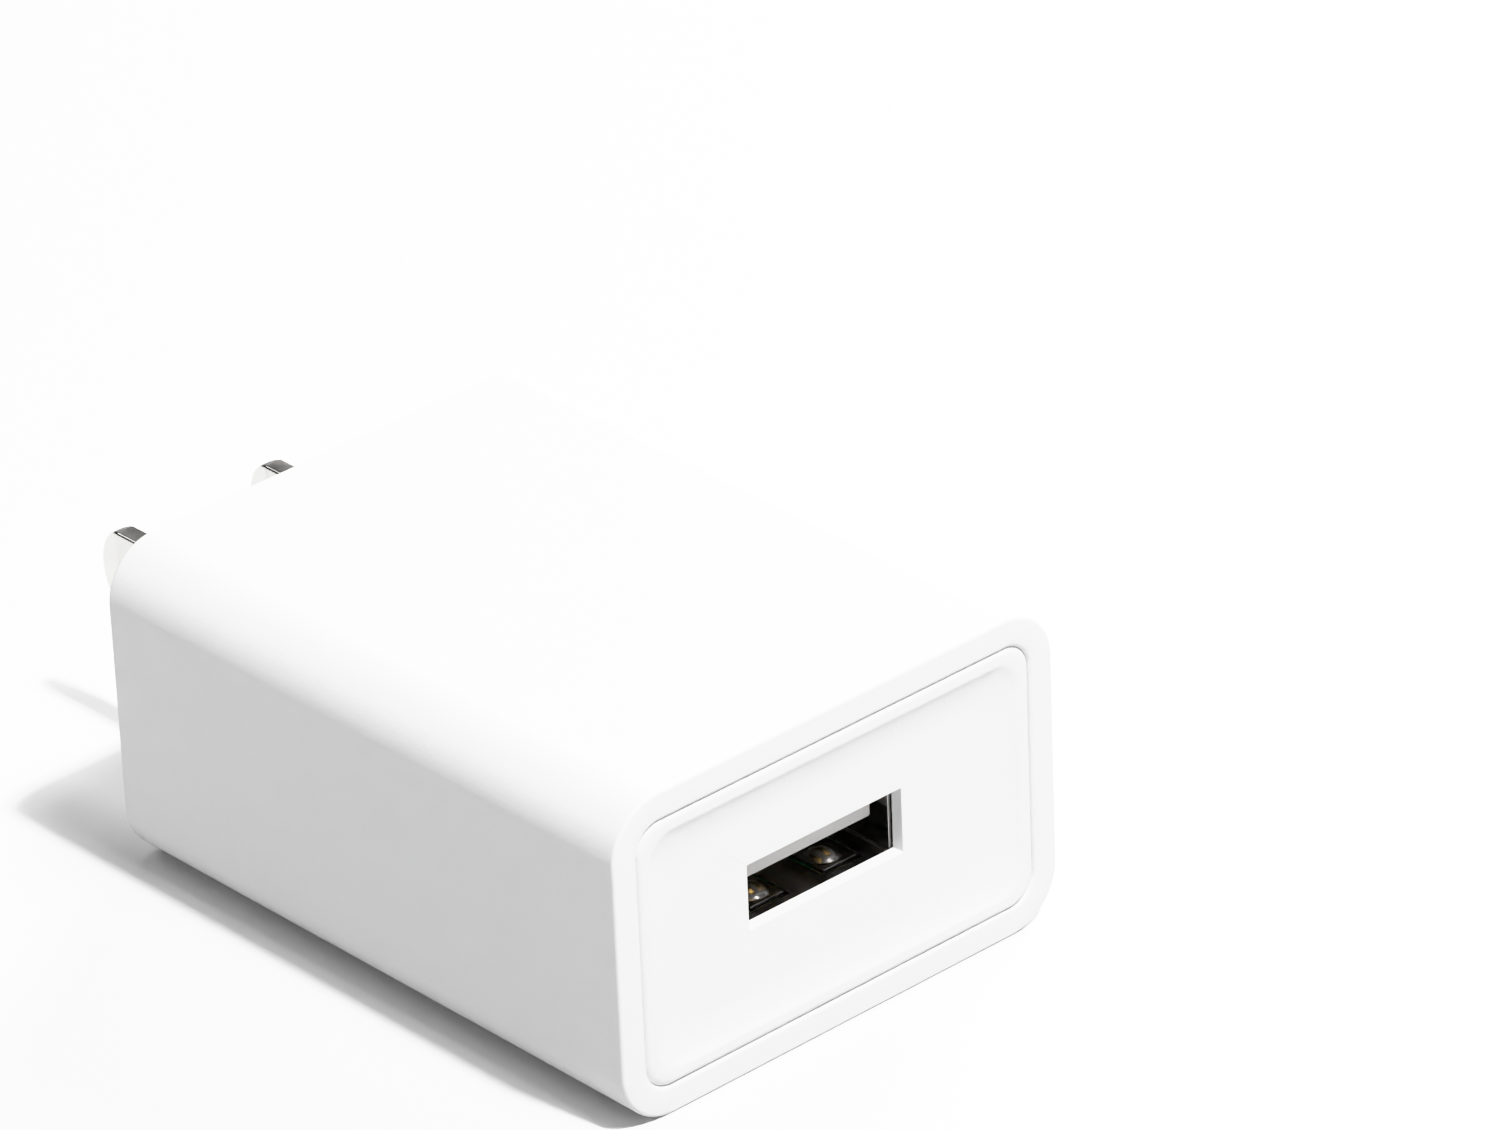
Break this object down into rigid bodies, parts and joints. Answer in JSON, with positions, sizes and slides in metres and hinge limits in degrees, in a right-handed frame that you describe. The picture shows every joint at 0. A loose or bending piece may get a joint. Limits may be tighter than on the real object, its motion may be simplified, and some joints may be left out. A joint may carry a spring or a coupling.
{
  "type": "usb wall charger",
  "caption": "White wall charger: a flat box with round long edges, two fixed flat mains blades at one end and a USB-A socket in a dished cover at the other.",
  "frame": {"origin": "middle of the wall face, the face that meets the outlet, between the two blades", "axes": "+Y out of the wall face along the blades, +X along the wide side, +Z through the thickness"},
  "size_m": [0.037, 0.0639, 0.0228],
  "materials": {
    "white_casing": "fine spark-eroded matte",
    "rear_plate": "polished",
    "nickel_blade": "nickel-plated brass, satin faces and polished tips",
    "spring_bronze": "rolled",
    "board_laminate": "green solder mask",
    "shell_steel": "nickel-plated steel",
    "socket_plastic": "white moulded",
    "gold_contact": "gold flash",
    "bobbin_plastic": "black phenolic",
    "ferrite": "sintered, ground faces",
    "enamelled_copper": "lacquered winding wire",
    "insulated_wire": "triple-insulated winding wire",
    "yellow_tape": "polyester tape",
    "tinned_wire": "tinned copper",
    "can_aluminium": "drawn can",
    "capacitor_sleeve": "shrunk film",
    "bung_rubber": "matte",
    "blue_resin": "dipped resin over a ceramic disc",
    "green_lacquer": "lacquered resistor",
    "black_sleeving": "shrunk tube",
    "chip_moulding": "moulded epoxy",
    "chip_resistor_body": "glass-coated alumina",
    "chip_capacitor_body": "fired ceramic",
    "solder": "bright solder",
    "insulating_paper": "fish paper"
  },
  "bodies": {
    "root": {"main_housing": "white_casing", "front_cover": "white_casing", "rear_cover": "rear_plate", "blade_left": "nickel_blade", "blade_right": "nickel_blade", "blade_clip_left": "spring_bronze", "blade_clip_right": "spring_bronze", "circuit_board": "board_laminate", "usb_shell": "shell_steel", "usb_insulator": "socket_plastic", "usb_terminals": "gold_contact", "transformer_bobbin": "bobbin_plastic", "transformer_core_front": "ferrite", "transformer_core_rear": "ferrite", "primary_winding": "enamelled_copper", "secondary_winding": "insulated_wire", "winding_tape": "yellow_tape", "transformer_pins": "tinned_wire", "input_capacitor_left": "can_aluminium", "input_capacitor_left_sleeve": "capacitor_sleeve", "input_capacitor_left_bung": "bung_rubber", "input_capacitor_right": "can_aluminium", "input_capacitor_right_sleeve": "capacitor_sleeve", "input_capacitor_right_bung": "bung_rubber", "output_capacitor_front": "can_aluminium", "output_capacitor_front_bung": "bung_rubber", "output_capacitor_rear": "can_aluminium", "output_capacitor_rear_bung": "bung_rubber", "y_capacitor": "blue_resin", "fusible_resistor": "green_lacquer", "input_choke": "black_sleeving", "bridge_rectifier": "chip_moulding", "controller_chip": "chip_moulding", "output_diode": "chip_moulding", "chip_leads": "tinned_wire", "chip_resistors": "chip_resistor_body", "chip_capacitors": "chip_capacitor_body", "component_leads": "tinned_wire", "solder_joints": "solder", "insulating_sheet": "insulating_paper"},
    "contact_1": {"usb_contact_1": "gold_contact"},
    "contact_2": {"usb_contact_2": "gold_contact"},
    "contact_3": {"usb_contact_3": "gold_contact"},
    "contact_4": {"usb_contact_4": "gold_contact"}
  },
  "joints": [
    {"name": "contact_1_flex", "type": "hinge", "parent": "root", "child": "contact_1", "pos_m": [-0.00425, -0.0372, 0.0012], "axis": [-1, 0, 0], "range_deg": [0, 4], "stiffness_Nm_per_rad": 0.1},
    {"name": "contact_2_flex", "type": "hinge", "parent": "root", "child": "contact_2", "pos_m": [-0.00175, -0.0372, 0.0012], "axis": [-1, 0, 0], "range_deg": [0, 4], "stiffness_Nm_per_rad": 0.1},
    {"name": "contact_3_flex", "type": "hinge", "parent": "root", "child": "contact_3", "pos_m": [0.00025, -0.0372, 0.0012], "axis": [-1, 0, 0], "range_deg": [0, 4], "stiffness_Nm_per_rad": 0.1},
    {"name": "contact_4_flex", "type": "hinge", "parent": "root", "child": "contact_4", "pos_m": [0.00275, -0.0372, 0.0012], "axis": [-1, 0, 0], "range_deg": [0, 4], "stiffness_Nm_per_rad": 0.1}
  ]
}
